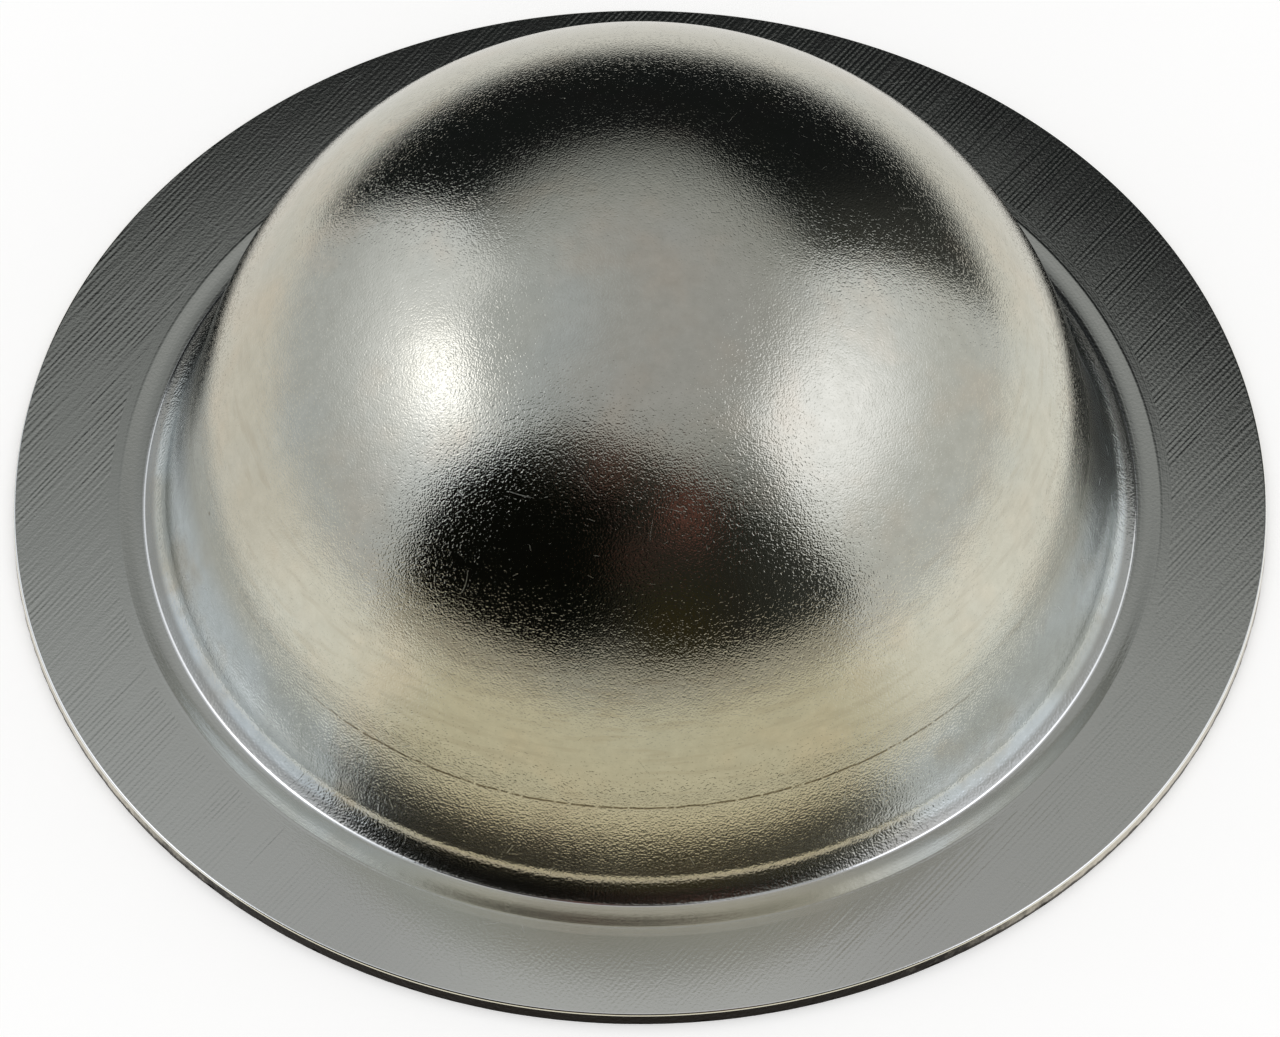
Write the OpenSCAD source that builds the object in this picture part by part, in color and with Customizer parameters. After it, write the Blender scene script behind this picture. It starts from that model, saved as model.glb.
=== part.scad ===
// Hub grease cap: one round shell drawn from flat sheet steel. A spherical dome
// runs out into a straight skirt and stands on a short flared wall, which turns
// through a tight root into a flat flange. A burnished land lies between the
// root and the flange, and a fine crease marks where the root ends on it. The
// cap is open underneath and lies with its flange on z = 0.

/* [Sheet] */
// Thickness of the sheet, the same all over
sheet_t = 0.9; // [0.6:0.05:1.2]

/* [Flange] */
// Diameter of the flange's sheared rim
flange_d = 70; // [66:0.5:90]
// Radius to which shearing rolls over the rim's top edge
rim_roll_r = 0.12; // [0.05:0.01:0.25]

/* [Burnished land] */
// Width of the land, from the root's centre to the step down to the flange
land_w = 1; // [0.4:0.05:3]
// Height of the land above the flange
land_rise = 0.12; // [0.02:0.01:0.3]
// Slope of the step from the flange up to the land, in degrees
step_slope = 30; // [15:1:60]

/* [Crease] */
// Height at which the root would end above the land without the crease
crease_rise = 0.06; // [0.02:0.01:0.2]
// Depth to which the crease's bevel cuts into the root's arc
crease_cut = 0.08; // [0.03:0.01:0.15]
// Slope of the bevel, in degrees
crease_slope = 31; // [20:1:60]

/* [Wall] */
// Outer radius of the root, where the wall turns out into the land
root_r = 1.5; // [0.6:0.05:2.5]
// Flare of the wall away from upright, in degrees
wall_flare = 15.2; // [5:0.1:25]
// Height of the draw line, the edge where wall and skirt meet
draw_line_h = 6.8; // [5:0.1:9]

/* [Dome] */
// Outer radius of the dome
dome_r = 25.35; // [23:0.05:27]
// Height of the dome's top
cap_h = 28.95; // [26.5:0.05:31]
// Height of the straight skirt between the draw line and the ball
skirt_h = 1.2; // [0.4:0.1:3]

/* [Hidden] */
$fn = 180;

// Room by which a cutting shape passes the face that it cuts
pass = 1;

// Unit vector out of a surface that flares away from upright
function outward(flare) = [cos(flare), sin(flare)];

// The ball's centre, and the flare at which the ball runs out into the skirt
dome_c = [0, cap_h - dome_r];
skirt_flare = asin((draw_line_h + skirt_h - dome_c[1]) / dome_r);
skirt_out = outward(skirt_flare);
wall_out = outward(wall_flare);

// The draw line on the outer skin, at the skirt's foot
draw_line = [dome_r * skirt_out[0] + skirt_h * tan(skirt_flare), draw_line_h];
// The draw line moves by this much for each unit of depth into the sheet
draw_line_in = outward((wall_flare + skirt_flare) / 2) / cos((wall_flare - skirt_flare) / 2);

// The root's arc touches the wall and passes just above the land
land_z = sheet_t + land_rise;
root_z = land_z + crease_rise + root_r;
root_c = [draw_line[0] + (root_r + (draw_line_h - root_z) * wall_out[1]) / wall_out[0], root_z];

// Unit vector out of the crease's bevel
crease_out = [sin(crease_slope), cos(crease_slope)];

// Radii of the flange and of the step's upper and lower edges
flange_r = flange_d / 2;
step_top_r = root_c[0] + land_w;
step_foot_r = step_top_r + land_rise / tan(step_slope);
// How far the step lies nearer the axis on the sheet's underside
step_shift = sheet_t * tan(step_slope / 2);

// Half section of the space inside a surface that lies the inset under the
// outer skin: the ball, the skirt and the flared wall, with the root's arc at
// the wall's foot and the crease's bevel where the arc comes down to the land
module bell_section(inset, floor_z) {
  ball_end = dome_c + (dome_r - inset) * skirt_out;
  wall_top = draw_line - inset * draw_line_in;
  wall_foot = root_c - (root_r + inset) * wall_out;
  bevel = root_c - (root_r + inset - crease_cut) * crease_out;
  land = land_z - inset;
  bevel_foot = bevel[0] + (bevel[1] - land) / tan(crease_slope);
  intersection() {
    translate(dome_c) circle(dome_r - inset);
    translate([0, wall_top[1]]) square([dome_r, cap_h]);
  }
  difference() {
    polygon([
      [0, floor_z],
      [bevel_foot, floor_z],
      [bevel_foot, land],
      bevel,
      root_c,
      wall_foot,
      wall_top,
      ball_end,
      [0, ball_end[1]]
    ]);
    translate(root_c) circle(root_r + inset);
  }
}

// Half section of the land and its step, cut off level at floor_z
module land_section(base_z, shift, floor_z) {
  polygon([
    [0, floor_z],
    [step_foot_r - shift, floor_z],
    [step_foot_r - shift, base_z],
    [step_top_r - shift, base_z + land_rise],
    [0, base_z + land_rise]
  ]);
}

// Half section of the flange, with its top edge rolled over
module flange_section() {
  square([flange_r, sheet_t - rim_roll_r]);
  square([flange_r - rim_roll_r, sheet_t]);
  translate([flange_r - rim_roll_r, sheet_t - rim_roll_r]) circle(rim_roll_r);
}

module grease_cap() {
  color([0.72, 0.71, 0.67])
    rotate_extrude()
      difference() {
        union() {
          bell_section(0, 0);
          land_section(sheet_t, 0, 0);
          flange_section();
        }
        bell_section(sheet_t, -pass);
        land_section(0, step_shift, -pass);
      }
}

grease_cap();
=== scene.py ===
"""Hub grease cap: a plated, drawn-steel shell on a white table, inside a small light tent."""
import math
import bpy
import numpy as np
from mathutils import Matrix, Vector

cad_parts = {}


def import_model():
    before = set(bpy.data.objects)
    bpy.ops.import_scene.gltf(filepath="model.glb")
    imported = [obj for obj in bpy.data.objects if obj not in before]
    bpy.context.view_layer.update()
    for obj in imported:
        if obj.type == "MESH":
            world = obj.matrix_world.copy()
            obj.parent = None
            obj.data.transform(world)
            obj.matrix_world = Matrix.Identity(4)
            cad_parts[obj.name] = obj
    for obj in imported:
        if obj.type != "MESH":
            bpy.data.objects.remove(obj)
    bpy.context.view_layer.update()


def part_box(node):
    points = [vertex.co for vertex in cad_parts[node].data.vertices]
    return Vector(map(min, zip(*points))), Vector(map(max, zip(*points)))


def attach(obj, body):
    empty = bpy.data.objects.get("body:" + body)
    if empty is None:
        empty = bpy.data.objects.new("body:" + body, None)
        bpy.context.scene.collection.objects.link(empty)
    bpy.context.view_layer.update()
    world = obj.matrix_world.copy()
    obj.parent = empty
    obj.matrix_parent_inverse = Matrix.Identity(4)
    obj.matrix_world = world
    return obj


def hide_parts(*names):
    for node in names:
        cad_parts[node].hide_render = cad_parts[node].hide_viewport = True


MM = 0.001

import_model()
NODE = "grease_cap"
_, CAP_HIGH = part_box(NODE)

# Sizes of the shell, in metres and radians
FLANGE_R = CAP_HIGH.x
CAP_H = CAP_HIGH.z
SHEET_T = 0.9 * MM
RIM_ROLL_R = 0.12 * MM
LAND_W = 1.0 * MM
LAND_RISE = 0.12 * MM
STEP_SLOPE = math.radians(30)
CREASE_RISE = 0.06 * MM
CREASE_CUT = 0.08 * MM
CREASE_SLOPE = math.radians(31)
ROOT_R = 1.5 * MM
WALL_FLARE = math.radians(15.2)
DRAW_LINE_H = 6.8 * MM
SKIRT_H = 1.2 * MM
DOME_R = 25.35 * MM

# Radii of the small blends at the crease and the draw line
CREASE_EDGE_R = 0.06 * MM
DRAW_LINE_R = 0.5 * MM
# How much further out the skirt leans at its foot, and the height where that lean begins
SKIRT_BOW = math.radians(5)
BOW_TOP = 10.5 * MM

# Lean of the land's skin at distances from the middle of its step, in mm and degrees, from the
# flange inwards: a soft step, a low crest and a shallow dish up to the crease
LAND_LEAN = (
    (0.30, 0),
    (0.12, 3),
    (0.06, -4),
    (0, -8.5),
    (-0.30, -8.5),
    (-0.55, -6.5),
    (-0.80, -2),
    (-1.22, 4),
)
# Leans of the root where its round ends, and where its foot meets the crease's bevel
ROOT_END = math.radians(50)
ROOT_FOOT = math.radians(35)
BEVEL_LEAN = math.radians(28)

# Leans of the rim's rolled edge in degrees, and heights of the rings on its sheared face in mm
ROLL_LEANS = (0, 18, 36, 54, 72, 88)
RIM_HEIGHTS = (0.775, 0.62, 0.46, 0.30, 0.15, 0.04)
# Rings on the flat underside, in mm in from the rim
UNDERSIDE_INSETS = (0.03, 0.3, 1.5, 3.0, 4.5)
# Tears along the rim's foot: waves in a turn and depth in mm, and the deepest tear in mm
TEARS = ((31, 0.025), (67, 0.035), (118, 0.045), (179, 0.045))
DEEPEST_TEAR = 0.13
# How much of the tear reaches the two lowest rings of the sheared face
TEAR_SHARES = (0.4, 1.0)

# Facets: round the axis, and along the stretches of the section
SEGMENTS = 480
BALL_STEPS = 61
ARC_STEPS = 18
FLANGE_STEPS = 14
LAND_POINTS = 25
CORNER_STEPS = 5
CREASE_STEPS = 6
BEVEL_STEPS = 2
FOOT_STEPS = 6
WALL_STEPS = 8
SKIRT_STEPS = 4
# Inside the shell only each third point of the plain stretches is kept
INSIDE_SKIP = 3

# Photograph's frame and the camera that took it
IMAGE_W = 1280
CAM_DISTANCE = 40 * FLANGE_R
CAM_ELEVATION = math.radians(53.34)
CAM_PITCH = math.radians(-0.0091)
CAM_FOCAL_PX = 25056.4
SENSOR_W_MM = 36.0
CLIP_START, CLIP_END = 0.05, 20


# Half section: a point is (r, z, tilt), where tilt is the lean of the skin's outward normal from +Z

def outward(tilt):
    """Unit normal of a surface of that tilt, in the half section."""
    return np.array((math.sin(tilt), math.cos(tilt)))


def along(tilt):
    """Unit direction up the skin, towards the crown."""
    return np.array((-math.cos(tilt), math.sin(tilt)))


def bend(start, tilt_a, tilt_b, radius, steps):
    """Points on an arc that leaves start at one tilt and ends at the other."""
    sign = 1 if tilt_b > tilt_a else -1
    centre = np.array(start) + sign * radius * outward(tilt_a)
    tilts = np.linspace(tilt_a, tilt_b, steps + 1)
    return [(*(centre - sign * radius * outward(t)), t) for t in tilts]


def corner(point, tilt_a, tilt_b, radius, steps=CORNER_STEPS):
    """Points of a small blend that takes the place of a sharp corner."""
    back = radius * math.tan(abs(tilt_b - tilt_a) / 2)
    return bend(np.array(point) - back * along(tilt_a), tilt_a, tilt_b, radius, steps)


def straight(start, end, steps):
    """Points between two section points, both left out, with the first one's tilt."""
    a, b = np.array(start[:2]), np.array(end[:2])
    return [(*(a + (b - a) * i / steps), start[2]) for i in range(1, steps)]


def land_skin(step_mid, crease_foot):
    """Points over the soft step and the dished land, from the flange to the crease."""
    leans = [(step_mid + d * MM, math.radians(a)) for d, a in LAND_LEAN]
    leans[-1] = (crease_foot[0], leans[-1][1])
    known_r, known_t = np.array(leans).T
    radii = np.linspace(known_r[0], known_r[-1], LAND_POINTS)
    tilts = np.interp(-radii, -known_r, known_t)
    rise = np.tan(tilts)
    steps_up = (radii[:-1] - radii[1:]) * (rise[:-1] + rise[1:]) / 2
    heights = np.concatenate(([0], np.cumsum(steps_up)))
    heights += crease_foot[1] - heights[-1]
    share = (radii - radii[-1]) / (radii[0] - radii[-1])
    heights += share * (SHEET_T - heights[0])
    return list(zip(radii, heights, tilts))


def bow(height):
    """Extra lean of the skirt and of the ball's foot at that height."""
    share = (BOW_TOP - height) / (BOW_TOP - DRAW_LINE_H)
    return SKIRT_BOW * min(max(share, 0), 1)


def skin(inset, outside):
    """Half section of one skin, from the step's foot to the crown, as named bands of points."""
    upright = math.pi / 2
    dome_z = CAP_H - DOME_R
    skirt_flare = math.asin((DRAW_LINE_H + SKIRT_H - dome_z) / DOME_R)
    draw_r = DOME_R * math.cos(skirt_flare) + SKIRT_H * math.tan(skirt_flare)
    land_z = SHEET_T + LAND_RISE
    root_z = land_z + CREASE_RISE + ROOT_R
    reach = ROOT_R + (DRAW_LINE_H - root_z) * math.sin(WALL_FLARE)
    root_c = np.array((draw_r + reach / math.cos(WALL_FLARE), root_z))

    step_top = np.array((root_c[0] + LAND_W, land_z))
    step_top -= inset * np.array((math.tan(STEP_SLOPE / 2), 1))
    step_foot = step_top + LAND_RISE * np.array((1 / math.tan(STEP_SLOPE), -1))
    radius = ROOT_R + inset
    bevel = root_c - (radius - CREASE_CUT) * outward(CREASE_SLOPE)
    bevel_foot = bevel + (bevel[1] - land_z + inset) * np.array((1 / math.tan(CREASE_SLOPE), -1))
    cut_tilt = CREASE_SLOPE - math.acos(1 - CREASE_CUT / radius)
    bevel_top = root_c - radius * outward(cut_tilt)

    if outside:
        foot_tilt = math.radians(LAND_LEAN[-1][1])
        round_end = root_c - radius * outward(ROOT_END)
        crease = corner(bevel_foot, foot_tilt, BEVEL_LEAN, CREASE_EDGE_R, CREASE_STEPS)
        crease += straight((*crease[-1][:2], BEVEL_LEAN), bevel_top, BEVEL_STEPS)
        run = straight((*bevel_top, ROOT_FOOT), round_end, FOOT_STEPS)
        run = [bevel_top] + [point[:2] for point in run]
        leans = np.linspace(ROOT_FOOT, ROOT_END, len(run) + 1)
        run = [(*point, lean) for point, lean in zip(run, leans)]
        land = land_skin((step_foot[0] + step_top[0]) / 2, crease[0])[:-1]
        root = run + bend(round_end, ROOT_END, upright - WALL_FLARE, radius, ARC_STEPS)
    else:
        crease = [(*bevel_foot, CREASE_SLOPE), (*bevel_top, CREASE_SLOPE)]
        land = [(*step_foot, STEP_SLOPE), (*step_top, 0)]
        root = bend(bevel_top, cut_tilt, upright - WALL_FLARE, radius, ARC_STEPS)[1:]
    half_turn = (WALL_FLARE - skirt_flare) / 2
    lean = (WALL_FLARE + skirt_flare) / 2
    draw_line = np.array((draw_r, DRAW_LINE_H))
    draw_line -= inset / math.cos(half_turn) * outward(upright - lean)
    skirt_foot = upright - skirt_flare - SKIRT_BOW
    fold = corner(draw_line, upright - WALL_FLARE, skirt_foot, DRAW_LINE_R + inset)
    ball_r = DOME_R - inset
    ball_end = np.array((0, dome_z)) + ball_r * outward(upright - skirt_flare)
    ball = bend(ball_end, upright - skirt_flare, 0, ball_r, BALL_STEPS)[:-1]
    ball = [(r, z, tilt - bow(z)) for r, z, tilt in ball]
    skirt = straight(fold[-1], ball[0], SKIRT_STEPS)
    skirt = [(r, z, upright - skirt_flare - bow(z)) for r, z, _ in skirt]
    return [
        ("land", land),
        ("crease", crease),
        ("wall", root + straight(root[-1], fold[0], WALL_STEPS) + fold + skirt),
        ("dome", ball),
    ]


def shell_section():
    """Closed half section: over the outer skin from the crown to the rim, then back underneath."""
    outer = skin(0, outside=True)
    inner = skin(SHEET_T, outside=False)
    step_foot = outer[0][1][0]
    roll_r = FLANGE_R - RIM_ROLL_R
    roll_z = SHEET_T - RIM_ROLL_R
    bands = [(name, points[::-1]) for name, points in outer[::-1]]
    bands.append(("flange", straight(step_foot, (roll_r, SHEET_T), FLANGE_STEPS)))
    roll = [(*((roll_r, roll_z) + RIM_ROLL_R * outward(t)), t) for t in np.radians(ROLL_LEANS)]
    bands.append(("rim_roll", roll))
    bands.append(("rim", [(FLANGE_R, z * MM, math.pi / 2) for z in RIM_HEIGHTS]))
    underside = [(FLANGE_R - r * MM, 0, math.pi) for r in UNDERSIDE_INSETS]
    for name, points in inner:
        step = 1 if name in ("land", "crease") else INSIDE_SKIP
        underside += [(r, z, t + math.pi) for r, z, t in points[::step]]
    bands.append(("inside", underside))
    return bands


def edge_wear(turn):
    """How far the sheared rim's lower edge is torn back, around the rim, in metres."""
    rng = np.random.default_rng(7)
    tear = np.zeros_like(turn)
    for waves, depth in TEARS:
        tear += depth * np.sin(waves * turn + rng.uniform(0, 2 * math.pi))
    return np.clip(tear, 0, DEEPEST_TEAR) * MM


def shell_faces(kinds):
    """Faces of the turned section and their slots: a fan at each pole, and quads between."""
    rings = len(kinds)
    last = 1 + rings * SEGMENTS
    faces, slots = [], []
    for s in range(SEGMENTS):
        n = (s + 1) % SEGMENTS
        faces.append((0, 1 + s, 1 + n))
        slots.append(kinds[0])
    for i in range(rings - 1):
        a, b = 1 + i * SEGMENTS, 1 + (i + 1) * SEGMENTS
        for s in range(SEGMENTS):
            n = (s + 1) % SEGMENTS
            faces.append((a + s, b + s, b + n, a + n))
            slots.append(kinds[i])
    a = 1 + (rings - 1) * SEGMENTS
    for s in range(SEGMENTS):
        n = (s + 1) % SEGMENTS
        faces.append((a + s, last, a + n))
        slots.append(kinds[-1])
    return faces, slots


def revolve(name, bands, top, bottom):
    """Turns a half section into a closed mesh, with one material slot for each band."""
    points, kinds = [], []
    for index, (_, band) in enumerate(bands):
        points += band
        kinds += [index] * len(band)
    turn = np.linspace(0, 2 * math.pi, SEGMENTS, endpoint=False)
    r, z, tilt = np.array(points).T
    spread = np.stack((np.cos(turn), np.sin(turn)), axis=-1)
    radius = np.repeat(r[:, None], SEGMENTS, axis=1)
    rim = [kind for kind, _ in bands].index("rim")
    lower_edge = [i for i, k in enumerate(kinds) if k == rim][-len(TEAR_SHARES):]
    for i, share in zip(lower_edge, TEAR_SHARES):
        radius[i] -= edge_wear(turn) * share
    grid = np.empty((len(points), SEGMENTS, 3))
    grid[:, :, :2] = radius[:, :, None] * spread
    grid[:, :, 2] = z[:, None]
    normals = np.empty_like(grid)
    normals[:, :, :2] = np.sin(tilt)[:, None, None] * spread
    normals[:, :, 2] = np.cos(tilt)[:, None]
    verts = [(0, 0, top)] + [tuple(v) for v in grid.reshape(-1, 3)] + [(0, 0, bottom)]
    facing = [(0, 0, 1)] + [tuple(v) for v in normals.reshape(-1, 3)] + [(0, 0, -1)]
    faces, slots = shell_faces(kinds)
    mesh = bpy.data.meshes.new(name)
    mesh.from_pydata(verts, [], faces)
    mesh.polygons.foreach_set("material_index", slots)
    mesh.polygons.foreach_set("use_smooth", [True] * len(faces))
    mesh.normals_split_custom_set_from_vertices(facing)
    mesh.update()
    piece = bpy.data.objects.new(name, mesh)
    bpy.context.scene.collection.objects.link(piece)
    return piece


# Node helpers

class Graph:
    """Short calls for building a node tree."""

    def __init__(self, tree):
        self.tree = tree
        tree.nodes.clear()

    def node(self, kind, **settings):
        """A new node of that kind, with its settings made."""
        node = self.tree.nodes.new(kind)
        for key, value in settings.items():
            setattr(node, key, value)
        return node

    def put(self, socket, value):
        """Links the value to the socket, or sets the socket to it."""
        if isinstance(value, bpy.types.NodeSocket):
            self.tree.links.new(value, socket)
        else:
            socket.default_value = value

    def surface(self, shader):
        """Makes the shader the look of the surface."""
        out = self.node("ShaderNodeOutputMaterial")
        self.tree.links.new(shader.outputs[0], out.inputs["Surface"])

    def math(self, operation, a, b=0.0, c=0.0, clamp=False):
        """Output of a math node on up to three values."""
        node = self.node("ShaderNodeMath", operation=operation, use_clamp=clamp)
        for socket, value in zip(node.inputs, (a, b, c)):
            self.put(socket, value)
        return node.outputs[0]

    def vector(self, operation, a, b=(0, 0, 0)):
        """A vector math node on up to two vectors."""
        node = self.node("ShaderNodeVectorMath", operation=operation)
        self.put(node.inputs[0], a)
        self.put(node.inputs[1], b)
        return node

    def scaled(self, vector, factor):
        """The vector made that many times as long."""
        node = self.node("ShaderNodeVectorMath", operation="SCALE")
        self.put(node.inputs[0], vector)
        self.put(node.inputs["Scale"], factor)
        return node.outputs[0]

    def split(self, vector):
        """The vector's x, y and z."""
        node = self.node("ShaderNodeSeparateXYZ")
        self.put(node.inputs[0], vector)
        return node.outputs

    def ramp(self, value, low, high, smooth=True):
        """0 at low and 1 at high, with a soft change between them."""
        kind = "SMOOTHSTEP" if smooth else "LINEAR"
        node = self.node("ShaderNodeMapRange", interpolation_type=kind)
        self.put(node.inputs["Value"], value)
        node.inputs["From Min"].default_value = low
        node.inputs["From Max"].default_value = high
        return node.outputs["Result"]

    def mix(self, factor, a, b, blend="MIX"):
        """Colour a at factor 0, and b laid over it at factor 1."""
        node = self.node("ShaderNodeMix", data_type="RGBA", blend_type=blend)
        self.put(node.inputs[0], factor)
        self.put(node.inputs[6], a)
        self.put(node.inputs[7], b)
        return node.outputs[2]

    def noise(self, vector, scale, detail=2.0, roughness=0.5):
        """Soft noise of that many cells per unit of the vector."""
        node = self.node("ShaderNodeTexNoise")
        self.put(node.inputs["Vector"], vector)
        node.inputs["Scale"].default_value = scale
        node.inputs["Detail"].default_value = detail
        node.inputs["Roughness"].default_value = roughness
        return node.outputs["Fac"]

    def cells(self, vector, scale):
        """One random point in each cell, with that many cells per unit of the vector."""
        node = self.node("ShaderNodeTexVoronoi")
        self.put(node.inputs["Vector"], vector)
        node.inputs["Scale"].default_value = scale
        return node

    def relief(self, *layers):
        """Bumped normal from the sum of (height, depth in metres) layers."""
        total = 0.0
        for height, depth in layers:
            total = self.math("MULTIPLY_ADD", height, depth / MM, total)
        node = self.node("ShaderNodeBump")
        self.put(node.inputs["Height"], total)
        node.inputs["Distance"].default_value = MM
        return node.outputs["Normal"]

    def place(self):
        """Place on the object, in metres."""
        return self.node("ShaderNodeTexCoord").outputs["Object"]

    def reach(self, place):
        """Distance from the axis."""
        flat = self.vector("MULTIPLY", place, (1, 1, 0)).outputs[0]
        return self.vector("LENGTH", flat).outputs["Value"]

    def azimuth(self, x, y):
        """Degrees round the axis: 0 towards the camera, and more to the right."""
        return self.math("DEGREES", self.math("ARCTAN2", x, self.math("MULTIPLY", y, -1.0)))

    def turned(self, vector, angle, scale=(1, 1, 1)):
        """The vector in axes turned about Z, with each axis then multiplied by its scale."""
        node = self.node("ShaderNodeMapping", vector_type="TEXTURE")
        self.put(node.inputs["Vector"], vector)
        node.inputs["Rotation"].default_value = (0, 0, angle)
        node.inputs["Scale"].default_value = [1 / s for s in scale]
        return node.outputs[0]

    def around(self, place, cells, rise):
        """Coordinates that count cells round the axis, and rise per metre up it."""
        flat = self.vector("MULTIPLY", place, (1, 1, 0)).outputs[0]
        ring = self.scaled(self.vector("NORMALIZE", flat).outputs[0], cells)
        up = self.vector("MULTIPLY", place, (0, 0, rise)).outputs[0]
        return self.vector("ADD", ring, up).outputs[0]


def new_material(name):
    """A new material, and the graph of its nodes."""
    material = bpy.data.materials.new(name)
    material.use_nodes = True
    return material, Graph(material.node_tree)


# Metal

DOME_PLATE = (0.57, 0.56, 0.49, 1)
DOME_WARM = (0.60, 0.555, 0.465, 1)
DOME_COOL = (0.555, 0.565, 0.52, 1)
DOME_STREAK = (0.50, 0.48, 0.41, 1)
SPOT_STAIN = (0.20, 0.16, 0.10, 1)
MOTTLE_DARK = (0.93, 0.93, 0.92, 1)
MOTTLE_LIGHT = (1.06, 1.06, 1.06, 1)
# Lower wall: a painted reflection, warm towards the front and back and cool blue at the sides
WALL_FRONT_PAINTED_REFLECTION = (0.70, 0.66, 0.545, 1)
WALL_SIDES_PAINTED_REFLECTION = (0.70, 0.745, 0.76, 1)
# Painted shade in the crease at the wall's foot
ROOT_PAINTED_SHADE = (0.34, 0.335, 0.31, 1)
# Painted shade along the draw line, towards the front
DRAW_LINE_SHADE = (0.16, 0.13, 0.085, 1)
# Brighter plate on the crease's bevel and the rim's rolled edge: a painted highlight along these edges
HIGHLIGHT_PLATE = (0.90, 0.90, 0.885, 1)
FLANGE_PLATE = (0.62, 0.62, 0.58, 1)
# Lighter plates painted on as glare where the flange and the land lie nearest the eye
FLANGE_GLARE = (0.74, 0.745, 0.69, 1)
LAND_GLARE = (0.86, 0.86, 0.80, 1)
# Sheared edge: dark for the painted shade at the front and for the darker foot, plated colour
# elsewhere
RIM_SHADE = (0.011, 0.008, 0.005, 1)
RIM_PLATE = (0.62, 0.58, 0.50, 1)

# Roughness of each metal, and what a scratch adds to it
DOME_ROUGHNESS = 0.075
WALL_ROUGHNESS = 0.19
BURNISHED_ROUGHNESS = 0.11
FLANGE_ROUGHNESS = 0.13
RIM_ROUGHNESS = 0.40
SCRATCH_ON_DOME = 0.30
SCRATCH_ELSEWHERE = 0.25

# Depths of the reliefs
DOME_GRAIN = 0.0105 * MM
DOME_PITS = -0.0062 * MM
DOME_WAVES = 0.0035 * MM
WALL_STREAKS = 0.014 * MM
WALL_FINE_STREAKS = 0.003 * MM
WALL_GRAIN = 0.0195 * MM
BURNISHED_RINGS = 0.0030 * MM
BURNISHED_GRAIN = 0.0055 * MM
FLANGE_LINES = 0.0025 * MM
FLANGE_THREADS = 0.0072 * MM
FLANGE_GRAIN = 0.0070 * MM
RIM_GRAIN = 0.03 * MM

# Rolling lines on the flange
LINES_ANGLE = math.radians(52)
LINE_SPACING = 0.30 * MM
LINES_DRIFT = 9.0

# Where a tint, a mark, a painted shade, a painted reflection or a painted glare starts and where it is
# full: x to the right, y to the back, z up, r out
CROWN_Z = (22 * MM, 14 * MM)
WALL_REFLECTION_X = (8 * MM, 19 * MM)
WALL_REFLECTION_Z = (8.0 * MM, 4.6 * MM)
ROOT_SHADE_R = (26.95 * MM, 27.30 * MM)
LINE_SHADE_Y = (-15 * MM, -21 * MM)
GLARE_Y = (-20 * MM, -27 * MM)
GLARE_X = (17 * MM, 5 * MM)
DEEP_LINES_X = (2 * MM, 30 * MM)
DEEP_LINES_Y = (-16 * MM, 4 * MM)
FAINT_LINES_X = (0, -12 * MM)
FAINT_LINES_Y = (14 * MM, 26 * MM)

# Painted shade along the draw line, towards the front: its height, how far it wanders, and its half
# width
SHADE_LINE_H = DRAW_LINE_H - 0.05 * MM
SHADE_WANDER = 0.22 * MM
SHADE_HALF_W = (0.10 * MM, 0.02 * MM)

# Painted shade on the sheared edge, in degrees round the axis: the shaded stretch's middle, its ragged
# reach and its ends
SHADE_MIDDLE = -6.0
SHADE_RAGGED = 24.0
SHADE_ENDS = (44.0, 66.0)
# Height of the sheared face's dark foot, and how ragged its top is
RIM_FOOT = (0.62 * MM, 0.46 * MM)
RIM_FOOT_RAGGED = 0.5 * MM


def metal_shader(g, color, roughness, normal):
    """Bare metal with that colour, roughness and relief."""
    shader = g.node("ShaderNodeBsdfPrincipled")
    g.put(shader.inputs["Base Color"], color)
    shader.inputs["Metallic"].default_value = 1.0
    g.put(shader.inputs["Roughness"], roughness)
    g.put(shader.inputs["Normal"], normal)
    g.surface(shader)


def blotches(g, place, plate=DOME_PLATE):
    """Faint warm and cool patches in the plating, with a fine mottle."""
    warm = g.ramp(g.noise(place, scale=170, detail=3.0, roughness=0.6), 0.48, 0.72)
    cool = g.ramp(g.noise(g.turned(place, 0.7), scale=110), 0.50, 0.74)
    color = g.mix(g.math("MULTIPLY", warm, 0.8), plate, DOME_WARM)
    color = g.mix(g.math("MULTIPLY", cool, 0.8), color, DOME_COOL)
    mottle = g.noise(place, scale=1100, detail=4.0, roughness=0.75)
    shade = g.mix(g.ramp(mottle, 0.30, 0.70, smooth=False), MOTTLE_DARK, MOTTLE_LIGHT)
    return g.mix(1.0, color, shade, blend="MULTIPLY")


def scratches(g, place, scale, length, width, chance):
    """1 on short straight scratches that lie on the skin at random angles, one to a cell."""
    cells = g.cells(place, scale)
    skin_normal = g.node("ShaderNodeTexCoord").outputs["Normal"]
    reach = g.vector("SUBTRACT", place, cells.outputs["Position"]).outputs[0]
    lift = g.vector("DOT_PRODUCT", reach, skin_normal).outputs["Value"]
    flat = g.vector("SUBTRACT", reach, g.scaled(skin_normal, lift)).outputs[0]
    aim = g.vector("SUBTRACT", cells.outputs["Color"], (0.5, 0.5, 0.5)).outputs[0]
    aim = g.vector("NORMALIZE", g.vector("CROSS_PRODUCT", aim, skin_normal).outputs[0]).outputs[0]
    down = g.math("ABSOLUTE", g.vector("DOT_PRODUCT", flat, aim).outputs["Value"])
    off = g.vector("LENGTH", g.vector("CROSS_PRODUCT", flat, aim).outputs[0]).outputs["Value"]
    line = g.math("MULTIPLY", g.ramp(off, width, width * 0.4), g.ramp(down, length, length * 0.5))
    pick = g.node("ShaderNodeSeparateColor")
    g.put(pick.inputs[0], cells.outputs["Color"])
    chosen = g.math("LESS_THAN", pick.outputs[2], chance)
    return g.math("MULTIPLY", line, chosen)


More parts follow.
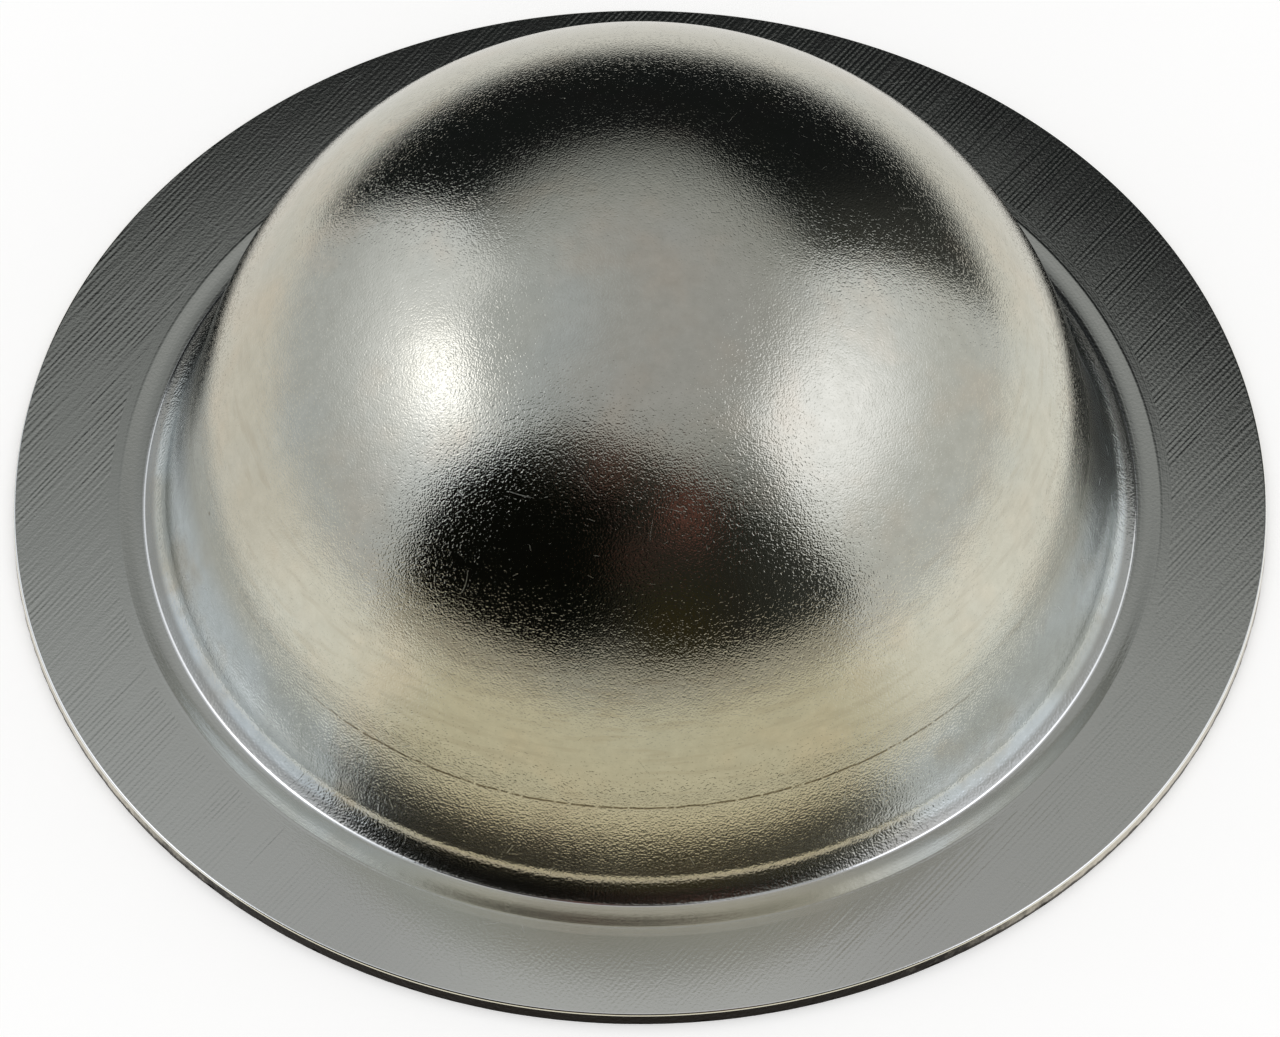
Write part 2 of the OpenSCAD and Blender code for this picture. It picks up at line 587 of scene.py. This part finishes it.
def specks(g, place, scale, size, chance):
    """1 on small round specks, one to a cell."""
    cells = g.cells(place, scale)
    pick = g.node("ShaderNodeSeparateColor")
    g.put(pick.inputs[0], cells.outputs["Color"])
    chosen = g.math("LESS_THAN", pick.outputs[0], chance)
    dot = g.ramp(cells.outputs["Distance"], size, size * 0.5)
    return g.math("MULTIPLY", dot, chosen)


def dome_metal():
    """Plated steel with the fine grain of a stretched sheet, small pits, stains and scratches."""
    material, g = new_material("plate_dome")
    place = g.place()
    grain = g.noise(place, scale=10500, detail=0.5, roughness=0.6)
    pits = g.ramp(g.noise(place, scale=6200, detail=1.0), 0.50, 0.74)
    waves = g.noise(place, scale=1500, detail=1.0)
    normal = g.relief((grain, DOME_GRAIN), (pits, DOME_PITS), (waves, DOME_WAVES))
    streaks = g.noise(g.around(place, cells=7, rise=1900), scale=1.0, roughness=0.6)
    off_crown = g.ramp(g.split(place)[2], *CROWN_Z)
    share = g.math("MULTIPLY", g.ramp(streaks, 0.48, 0.70), g.math("MULTIPLY", off_crown, 0.7))
    color = g.mix(share, blotches(g, place), DOME_STREAK)
    spots = specks(g, place, scale=150, size=0.024, chance=0.5)
    color = g.mix(g.math("MULTIPLY", spots, 0.8), color, SPOT_STAIN)
    long_marks = scratches(g, place, scale=230, length=0.9 * MM, width=0.028 * MM, chance=0.32)
    short_marks = scratches(g, place, scale=620, length=0.24 * MM, width=0.030 * MM, chance=0.25)
    marks = g.math("MAXIMUM", long_marks, short_marks)
    rough = g.math("MULTIPLY_ADD", marks, SCRATCH_ON_DOME, DOME_ROUGHNESS)
    metal_shader(g, color, rough, normal)
    return material


def draw_line_shade(g, place, height, y):
    """How dark the thin broken painted shade along the draw line is, strongest towards the front."""
    wander = g.noise(g.around(place, cells=22, rise=0), scale=1.0)
    wander = g.math("MULTIPLY_ADD", wander, SHADE_WANDER, -SHADE_WANDER / 2)
    off = g.math("ABSOLUTE", g.math("SUBTRACT", g.math("ADD", height, wander), SHADE_LINE_H))
    broken = g.noise(g.around(place, cells=55, rise=0), scale=1.0, detail=3.0, roughness=0.7)
    dark_line = g.math("MULTIPLY", g.ramp(off, *SHADE_HALF_W), g.ramp(broken, 0.34, 0.50))
    return g.math("MULTIPLY", dark_line, g.math("MULTIPLY", g.ramp(y, *LINE_SHADE_Y), 0.92))


def wall_metal():
    """Drawn wall: grain, streaks that run up it, a painted reflection on its lower part, painted shade
    at its foot, and painted shade along the draw line at the front.
    """
    material, g = new_material("plate_wall")
    place = g.place()
    streaks = g.noise(g.around(place, cells=70, rise=260), scale=1.0, detail=3.0, roughness=0.65)
    fine = g.noise(g.around(place, cells=260, rise=900), scale=1.0, detail=1.0)
    grain = g.noise(place, scale=7800, detail=0.6, roughness=0.6)
    normal = g.relief((streaks, WALL_STREAKS), (fine, WALL_FINE_STREAKS), (grain, WALL_GRAIN))
    x, y, z = g.split(place)
    # Painted reflection: the lower wall's plate is lighter, warm towards the front and back and cool
    # blue at the sides
    plate = g.mix(g.ramp(g.math("ABSOLUTE", x), *WALL_REFLECTION_X), WALL_FRONT_PAINTED_REFLECTION, WALL_SIDES_PAINTED_REFLECTION)
    plate = g.mix(g.ramp(z, *WALL_REFLECTION_Z), DOME_PLATE, plate)
    # Painted shade along the draw line on the front
    color = g.mix(draw_line_shade(g, place, z, y), blotches(g, place, plate), DRAW_LINE_SHADE)
    # Painted shade in the crease where the wall meets the land
    root_shade = g.math("MULTIPLY", g.ramp(g.reach(place), *ROOT_SHADE_R), 0.8)
    color = g.mix(root_shade, color, ROOT_PAINTED_SHADE)
    marks = scratches(g, place, scale=420, length=0.4 * MM, width=0.030 * MM, chance=0.35)
    rough = g.math("MULTIPLY_ADD", marks, SCRATCH_ELSEWHERE, WALL_ROUGHNESS)
    metal_shader(g, color, rough, normal)
    return material


def front_glare(g, place):
    """1 on the few millimetres of the flange that lie nearest the eye, where a lighter plate is
    painted on as glare.
    """
    x, y, _ = g.split(place)
    middle = g.ramp(g.math("ABSOLUTE", x), *GLARE_X)
    return g.math("MULTIPLY", g.ramp(y, *GLARE_Y), middle)


def burnished_metal(name, plate, glare_plate=None):
    """Plated steel, burnished by the draw ring, with faint rings round the axis, and with a painted
    glare on its front when a glare plate is given.
    """
    material, g = new_material(name)
    place = g.place()
    rings = g.node("ShaderNodeTexNoise", noise_dimensions="1D")
    g.put(rings.inputs["W"], g.reach(place))
    rings.inputs["Scale"].default_value = 6500
    grain = g.noise(place, scale=5200, roughness=0.6)
    normal = g.relief((rings.outputs["Fac"], BURNISHED_RINGS), (grain, BURNISHED_GRAIN))
    color = g.mix(front_glare(g, place), plate, glare_plate) if glare_plate else plate
    metal_shader(g, color, BURNISHED_ROUGHNESS, normal)
    return material


def flange_metal():
    """Plated steel with straight, fine rolling lines, deepest on the right, a painted glare on its
    front, and a few scratches.
    """
    material, g = new_material("plate_flange")
    place = g.place()
    x, y, _ = g.split(place)
    deep = g.math("MULTIPLY", g.ramp(x, *DEEP_LINES_X), g.ramp(y, *DEEP_LINES_Y))
    faint = g.math("MULTIPLY", g.ramp(y, *FAINT_LINES_Y), g.ramp(x, *FAINT_LINES_X))
    glare = front_glare(g, place)
    depth = g.math("MULTIPLY_ADD", deep, 1.5, 1.0)
    depth = g.math("SUBTRACT", depth, g.math("MULTIPLY", faint, 0.6))
    depth = g.math("SUBTRACT", depth, g.math("MULTIPLY", glare, 0.65))

    drift = g.noise(g.turned(place, LINES_ANGLE, (0.08, 1, 1)), scale=900, roughness=0.6)
    across = g.split(g.turned(place, LINES_ANGLE))[1]
    turns = g.math("MULTIPLY", across, 2 * math.pi / LINE_SPACING)
    wave = g.math("SINE", g.math("MULTIPLY_ADD", drift, LINES_DRIFT, turns))
    patches = g.noise(g.turned(place, LINES_ANGLE, (0.25, 1, 1)), scale=700, roughness=0.6)
    strength = g.math("MAXIMUM", g.ramp(patches, 0.34, 0.62), g.math("MULTIPLY", deep, 0.45))
    lines = g.math("MULTIPLY", wave, g.math("MULTIPLY", strength, depth))
    threads = g.noise(g.turned(place, LINES_ANGLE, (0.04, 1, 1)), scale=4200, detail=1.0)
    threads = g.math("MULTIPLY", threads, depth)
    grain = g.noise(place, scale=5600, roughness=0.6)
    normal = g.relief((lines, FLANGE_LINES), (threads, FLANGE_THREADS), (grain, FLANGE_GRAIN))

    marks = scratches(g, place, scale=300, length=0.8 * MM, width=0.028 * MM, chance=0.30)
    rough = g.math("MULTIPLY_ADD", marks, SCRATCH_ELSEWHERE, FLANGE_ROUGHNESS)
    metal_shader(g, g.mix(glare, FLANGE_PLATE, FLANGE_GLARE), rough, normal)
    return material


def rim_metal():
    """Sheared edge: painted shade on the stretch facing the camera, darker along its foot, and plated
    over elsewhere.
    """
    material, g = new_material("sheared_edge_painted_shade")
    place = g.place()
    x, y, z = g.split(place)
    torn = g.noise(place, scale=1400, detail=3.0, roughness=0.7)
    # Painted shade: the edge is dark on the stretch that faces the camera
    off = g.math("ABSOLUTE", g.math("SUBTRACT", g.azimuth(x, y), SHADE_MIDDLE))
    plated = g.ramp(g.math("MULTIPLY_ADD", torn, SHADE_RAGGED, off), *SHADE_ENDS)
    foot = g.ramp(g.math("MULTIPLY_ADD", torn, RIM_FOOT_RAGGED, z), *RIM_FOOT)
    plated = g.math("MULTIPLY", plated, g.math("MULTIPLY_ADD", foot, -0.85, 1.0))
    color = g.mix(plated, RIM_SHADE, RIM_PLATE)
    normal = g.relief((g.noise(place, scale=3500, roughness=0.6), RIM_GRAIN))
    metal_shader(g, color, RIM_ROUGHNESS, normal)
    return material


# Light tent, seen only in the metal. Directions are in degrees. Azimuth is 0 towards the camera and
# grows to the right, back is 0 away from it and grows to the right too, and elevation is 0 at the
# table.

TENT_R = 120 * MM
TENT_SEGMENTS, TENT_RINGS = 96, 48
DISC_SIDES = 128

TENT_TOP = (0.485, 0.487, 0.500, 1)
TOP_LEFT = (0.57, 0.60, 0.63, 1)
REAR_HIGH = (0.41, 0.42, 0.42, 1)
REAR_MID = (0.25, 0.26, 0.26, 1)
LEFT_LOW = (0.60, 0.625, 0.65, 1)
LEFT_HIGH = (0.84, 0.87, 0.92, 1)
RIGHT_LOW = (0.70, 0.715, 0.72, 1)
RIGHT_HIGH = (0.86, 0.89, 0.93, 1)
RIGHT_TOP = (0.56, 0.57, 0.58, 1)
SIDES_FOOT = (0.76, 0.755, 0.735, 1)
LOW_FRONT = (0.46, 0.43, 0.36, 1)
LEFT_LAMP = (2.2, 2.2, 2.3, 1)
RIGHT_LAMP = (1.38, 1.40, 1.50, 1)
FRONT_DARK = (0.004, 0.004, 0.003, 1)
FRONT_DUSK = (0.022, 0.023, 0.019, 1)
FRONT_SIDE = (0.040, 0.042, 0.038, 1)
FRONT_TOP = (0.055, 0.052, 0.047, 1)
REAR_DARK = (0.011, 0.0125, 0.013, 1)
REAR_EDGE = (0.060, 0.062, 0.058, 1)
REDDISH = (0.17, 0.072, 0.058, 1)
OLIVE = (0.034, 0.028, 0.010, 1)
NOTCH = (0.20, 0.19, 0.16, 1)

# Azimuths between which the two cloth sides and the pale low front stand, and how soft their edges are
LEFT_SIDE = (-135, -57)
RIGHT_SIDE = (46, 119.5)
SIDES_SOFT = 2
FRONT_LOW = (-90, 80)
FRONT_LOW_SOFT = 20

# Dark rear, in back: its edges, the elevation of its top, and the stretch where that is raised
REAR_SIDE = (-45.5, 60)
REAR_SOFT = 1.5
REAR_TOP = 44.5
REAR_RAISED = (18, 62)
REAR_RAISED_SOFT = 8
REAR_RAISE = 4.5

# Dark front opening: an arch on upright sides over a sill. Half width, elevations of the sill and of
# the arch's foot, height of the arch, how square it is, and how its middle moves with elevation
OPENING_HALF_W = 52.6
OPENING_SILL = (9.0, 12.0)
ARCH_FOOT = 16.0
ARCH_H = 45.5
ARCH_POWER = 2.2
OPENING_LEAN = -0.27
OPENING_SHIFT = 0.6

# Soft spots: azimuth, elevation, half width, half height, flatness, share and colour
TOP_SPOTS = ((-100, 66, 50, 16, 3.0, 0.9, TOP_LEFT),)
LEFT_LAMPS = (
    (-86, 41, 22, 12, 2.0, 0.25, LEFT_LAMP),
    (-83, 45.8, 14.5, 6.2, 3.0, 1.0, LEFT_LAMP),
    (-114, 54, 5, 5, 2.0, 0.26, LEFT_LAMP),
)
RIGHT_LAMPS = ((69, 45, 28, 15, 3.0, 1.0, RIGHT_LAMP),)
FRONT_SPOTS = (
    (15, 45, 6, 6, 2.0, 1.0, REDDISH),
    (-12, 56, 6, 4, 2.0, 0.6, REDDISH),
    (-1, 36, 5, 3, 2.0, 0.4, REDDISH),
    (8, 20, 9, 9, 2.0, 1.0, OLIVE),
    (-6, 12, 6, 4, 2.0, 1.0, NOTCH),
)


class Sky:
    """Directions on the tent, in degrees, and soft shapes drawn with them."""

    def __init__(self, g, place):
        self.g = g
        x, y, z = g.split(place)
        flat = g.math("SQRT", g.math("ADD", g.math("MULTIPLY", x, x), g.math("MULTIPLY", y, y)))
        self.el = g.math("DEGREES", g.math("ARCTAN2", z, flat))
        self.az = g.azimuth(x, y)
        self.back = g.math("DEGREES", g.math("ARCTAN2", x, y))

    def band(self, value, low, high, soft):
        """1 between low and high, with soft edges."""
        rise = self.g.ramp(value, low - soft, low + soft)
        fall = self.g.ramp(value, high + soft, high - soft)
        return self.g.math("MULTIPLY", rise, fall)

    def blob(self, az, el, az_half, el_half, power):
        """1 at the middle, falling off like a bell; a higher power gives a flatter top."""
        g = self.g
        a = g.math("ABSOLUTE", g.math("DIVIDE", g.math("SUBTRACT", self.az, az), az_half))
        e = g.math("ABSOLUTE", g.math("DIVIDE", g.math("SUBTRACT", self.el, el), el_half))
        total = g.math("ADD", g.math("POWER", a, power), g.math("POWER", e, power))
        return g.math("EXPONENT", g.math("MULTIPLY", total, -1.0))

    def spots(self, level, spots):
        """The level with soft spots drawn over it."""
        for *shape, share, color in spots:
            factor = self.g.math("MULTIPLY", self.blob(*shape), share)
            level = self.g.mix(factor, level, color)
        return level


def front_opening(g, sky):
    """1 inside the dark front opening, a tall arch that leans to the left."""
    middle = g.math("MULTIPLY_ADD", sky.el, OPENING_LEAN, OPENING_SHIFT)
    across = g.math("DIVIDE", g.math("SUBTRACT", sky.az, middle), OPENING_HALF_W)
    above = g.math("MAXIMUM", g.math("SUBTRACT", sky.el, ARCH_FOOT), 0.0)
    up = g.math("POWER", g.math("DIVIDE", above, ARCH_H), ARCH_POWER)
    across = g.math("POWER", g.math("ABSOLUTE", across), ARCH_POWER)
    far = g.math("POWER", g.math("ADD", across, up), 1 / ARCH_POWER)
    return g.math("MULTIPLY", g.ramp(far, 1.025, 0.975), g.ramp(sky.el, *OPENING_SILL))


def tent_sides(g, sky, level):
    """Left and right cloth sides, each with its lamps behind it."""
    foot = g.ramp(sky.el, 9, -1)
    shift = g.math("MULTIPLY", g.ramp(sky.el, 40, 52), 8.0)
    left = sky.band(g.math("SUBTRACT", sky.az, shift), *LEFT_SIDE, SIDES_SOFT)
    side = g.mix(g.ramp(sky.el, 14, 38), LEFT_LOW, LEFT_HIGH)
    side = g.mix(g.ramp(sky.el, 48, 57), side, TOP_LEFT)
    side = g.mix(foot, sky.spots(side, LEFT_LAMPS), SIDES_FOOT)
    level = g.mix(g.math("MULTIPLY", left, g.ramp(sky.el, 72, 58)), level, side)
    right = sky.band(sky.az, *RIGHT_SIDE, SIDES_SOFT)
    side = g.mix(g.ramp(sky.el, 16, 36), RIGHT_LOW, RIGHT_HIGH)
    side = g.mix(g.ramp(sky.el, 46, 56), side, RIGHT_TOP)
    side = g.mix(foot, sky.spots(side, RIGHT_LAMPS), SIDES_FOOT)
    return g.mix(g.math("MULTIPLY", g.ramp(sky.el, 66, 55), right), level, side)


def tent_rear(g, sky, level):
    """Dark rear of the tent, with its top raised on the right."""
    raised = sky.band(sky.back, *REAR_RAISED, REAR_RAISED_SOFT)
    top_edge = g.math("MULTIPLY_ADD", raised, REAR_RAISE, REAR_TOP)
    under = g.ramp(g.math("SUBTRACT", top_edge, sky.el), -3.0, 4.5)
    upright = g.math("MULTIPLY", under, g.ramp(sky.el, 0.5, 7.0))
    rear = g.math("MULTIPLY", sky.band(sky.back, *REAR_SIDE, REAR_SOFT), upright)
    return g.mix(rear, level, g.mix(g.ramp(sky.back, 34, 60), REAR_DARK, REAR_EDGE))


def tent_front(g, sky, level):
    """Dark front opening, with the dim things that stand outside it."""
    dark = g.mix(g.ramp(sky.az, -14, 8), FRONT_DARK, FRONT_DUSK)
    dark = g.mix(g.ramp(sky.az, 22, 40), dark, FRONT_SIDE)
    dark = g.mix(g.ramp(sky.el, 47, 58), dark, FRONT_TOP)
    return g.mix(front_opening(g, sky), level, sky.spots(dark, FRONT_SPOTS))


def tent_map(g, place):
    """Brightness of the tent by direction: grey top, lamps at the sides, dark front and rear."""
    sky = Sky(g, place)
    level = g.mix(g.ramp(sky.el, 70, 56), TENT_TOP, REAR_HIGH)
    level = g.mix(g.ramp(sky.el, 58, 49), level, REAR_MID)
    level = sky.spots(level, TOP_SPOTS)
    front_low = sky.band(sky.az, *FRONT_LOW, FRONT_LOW_SOFT)
    front_low = g.math("MULTIPLY", front_low, g.ramp(sky.el, 40, 20))
    level = g.mix(front_low, level, LOW_FRONT)
    level = tent_sides(g, sky, level)
    level = tent_rear(g, sky, level)
    return tent_front(g, sky, level)


def only_in_reflections(obj):
    """Hides the object from the camera and from the light on the table."""
    obj.visible_camera = False
    obj.visible_diffuse = False
    obj.visible_shadow = False


def glow(g, color, strength=1.0):
    """A glowing surface."""
    node = g.node("ShaderNodeEmission")
    g.put(node.inputs["Color"], color)
    g.put(node.inputs["Strength"], strength)
    return node


def disc(name, radius, height, material):
    """A flat round sheet on the table, of that material, whose glow isn't sampled as a lamp."""
    place = (0, 0, height)
    bpy.ops.mesh.primitive_circle_add(
        vertices=DISC_SIDES, radius=radius, fill_type="NGON", location=place)
    sheet = bpy.context.object
    sheet.name = name
    material.cycles.emission_sampling = "NONE"
    sheet.data.materials.append(material)
    return sheet


def light_tent():
    """Small round tent over the cap, for the metal to mirror."""
    bpy.ops.mesh.primitive_uv_sphere_add(
        segments=TENT_SEGMENTS, ring_count=TENT_RINGS, radius=TENT_R)
    tent = bpy.context.object
    tent.name = "light_tent"
    material, g = new_material("tent_cloth")
    g.surface(glow(g, tent_map(g, g.place())))
    material.cycles.emission_sampling = "NONE"
    tent.data.materials.append(material)
    only_in_reflections(tent)


# Cream cloth on the table round the cap, seen only in the metal: a glowing sheet with painted light
# and shade

CLOTH_LIFT = 0.05 * MM
CLOTH_NEAR = 35.1 * MM
CLOTH_FAR = 119 * MM
# Painted shade at the front, and painted light brighter on the right and beside the lamps
CLOTH_FRONT_SHADE = (0.74, 0.69, 0.52, 1)
CLOTH_LEFT = (0.82, 0.79, 0.73, 1)
CLOTH_RIGHT = (0.97, 0.96, 0.91, 1)
CLOTH_REAR = (0.80, 0.79, 0.76, 1)
CLOTH_LIT = (1.15, 1.15, 1.10, 1)


def table_cloth():
    """Glowing cloth with a round hole for the cap, with painted light beside the lamps and painted
    shade at the front.
    """
    material, g = new_material("cream_cloth")
    place = g.place()
    x, y, _ = g.split(place)
    reach = g.vector("LENGTH", place).outputs["Value"]
    az = g.azimuth(x, y)
    wide = g.math("ABSOLUTE", az)
    side = g.mix(g.ramp(az, -50, 50), CLOTH_LEFT, CLOTH_RIGHT)
    color = g.mix(g.ramp(wide, 30, 80), CLOTH_FRONT_SHADE, side)
    color = g.mix(g.ramp(wide, 100, 150), color, CLOTH_REAR)
    # Painted light: a brighter pool beside each lamp
    lit = g.math("MULTIPLY", g.ramp(wide, 36, 56), g.ramp(wide, 88, 68))
    color = g.mix(g.math("MULTIPLY", lit, 0.5), color, CLOTH_LIT)
    clear = g.node("ShaderNodeBsdfTransparent")
    both = g.node("ShaderNodeMixShader")
    g.put(both.inputs[0], g.ramp(reach, CLOTH_NEAR, CLOTH_NEAR + MM))
    g.put(both.inputs[1], clear.outputs[0])
    g.put(both.inputs[2], glow(g, color).outputs[0])
    g.surface(both)
    cloth = disc("cream_cloth", CLOTH_FAR, CLOTH_LIFT, material)
    only_in_reflections(cloth)


# White table and room

FLOOR_R = 900 * MM
TABLE_WHITE = (0.9, 0.9, 0.9, 1)
TABLE_GLOW = (1.0, 0.995, 0.985, 1)
TABLE_GLOW_STRENGTH = 0.378
# Strength of the room for the light that falls on things, and what the eye sees on top of it
ROOM_LIGHT = 0.7
ROOM_SEEN = 0.3


def seen_by_eye(g):
    """1 for camera, glossy and transmission rays, and 0 for the light that falls on things."""
    path = g.node("ShaderNodeLightPath")
    seen = g.math("ADD", path.outputs["Is Camera Ray"], path.outputs["Is Glossy Ray"])
    return g.math("ADD", seen, path.outputs["Is Transmission Ray"], clamp=True)


def floor():
    """White table that keeps the cap's shadow and runs out into the white room."""
    material, g = new_material("white_table")
    cloth = g.node("ShaderNodeBsdfDiffuse")
    cloth.inputs["Color"].default_value = TABLE_WHITE
    shine = glow(g, TABLE_GLOW, g.math("MULTIPLY", seen_by_eye(g), TABLE_GLOW_STRENGTH))
    both = g.node("ShaderNodeAddShader")
    g.put(both.inputs[0], cloth.outputs[0])
    g.put(both.inputs[1], shine.outputs[0])
    g.surface(both)
    disc("table", FLOOR_R, 0, material)


def world():
    """Plain white room."""
    scene = bpy.context.scene
    scene.world = bpy.data.worlds.new("room")
    scene.world.use_nodes = True
    g = Graph(scene.world.node_tree)
    room = g.node("ShaderNodeBackground")
    room.inputs["Color"].default_value = (1, 1, 1, 1)
    g.put(room.inputs["Strength"], g.math("MULTIPLY_ADD", seen_by_eye(g), ROOM_SEEN, ROOM_LIGHT))
    out = g.node("ShaderNodeOutputWorld")
    g.tree.links.new(room.outputs[0], out.inputs["Surface"])


def camera():
    """The photograph's viewpoint."""
    data = bpy.data.cameras.new("photo_camera")
    data.sensor_width = SENSOR_W_MM
    data.lens = CAM_FOCAL_PX / IMAGE_W * SENSOR_W_MM
    data.clip_start, data.clip_end = CLIP_START, CLIP_END
    cam = bpy.data.objects.new("photo_camera", data)
    bpy.context.scene.collection.objects.link(cam)
    out, up = math.cos(CAM_ELEVATION), math.sin(CAM_ELEVATION)
    cam.location = (0, -CAM_DISTANCE * out, CAM_DISTANCE * up)
    cam.rotation_euler = (math.pi / 2 - CAM_ELEVATION + CAM_PITCH, 0, 0)
    bpy.context.scene.camera = cam


def build():
    """The cap and its stage."""
    bands = shell_section()
    cap = revolve("cap_shell", bands, CAP_H, CAP_H - SHEET_T)
    dome = dome_metal()
    wall = wall_metal()
    # The land and the inside: burnished plate with a painted glare on the front
    burnished = burnished_metal("plate_burnished", FLANGE_PLATE, LAND_GLARE)
    # The crease and the rim's rolled edge get a brighter plate, a painted highlight
    highlight_edges = burnished_metal("plate_painted_highlight", HIGHLIGHT_PLATE)
    by_band = {
        "dome": dome,
        "wall": wall,
        "crease": highlight_edges,
        "land": burnished,
        "flange": flange_metal(),
        "rim_roll": highlight_edges,
        "rim": rim_metal(),
        "inside": burnished,
    }
    for name, _ in bands:
        cap.data.materials.append(by_band[name])
    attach(cap, "root")
    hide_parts(NODE)
    camera()
    floor()
    table_cloth()
    light_tent()
    world()
    bpy.context.scene.view_settings.view_transform = "Standard"


build()
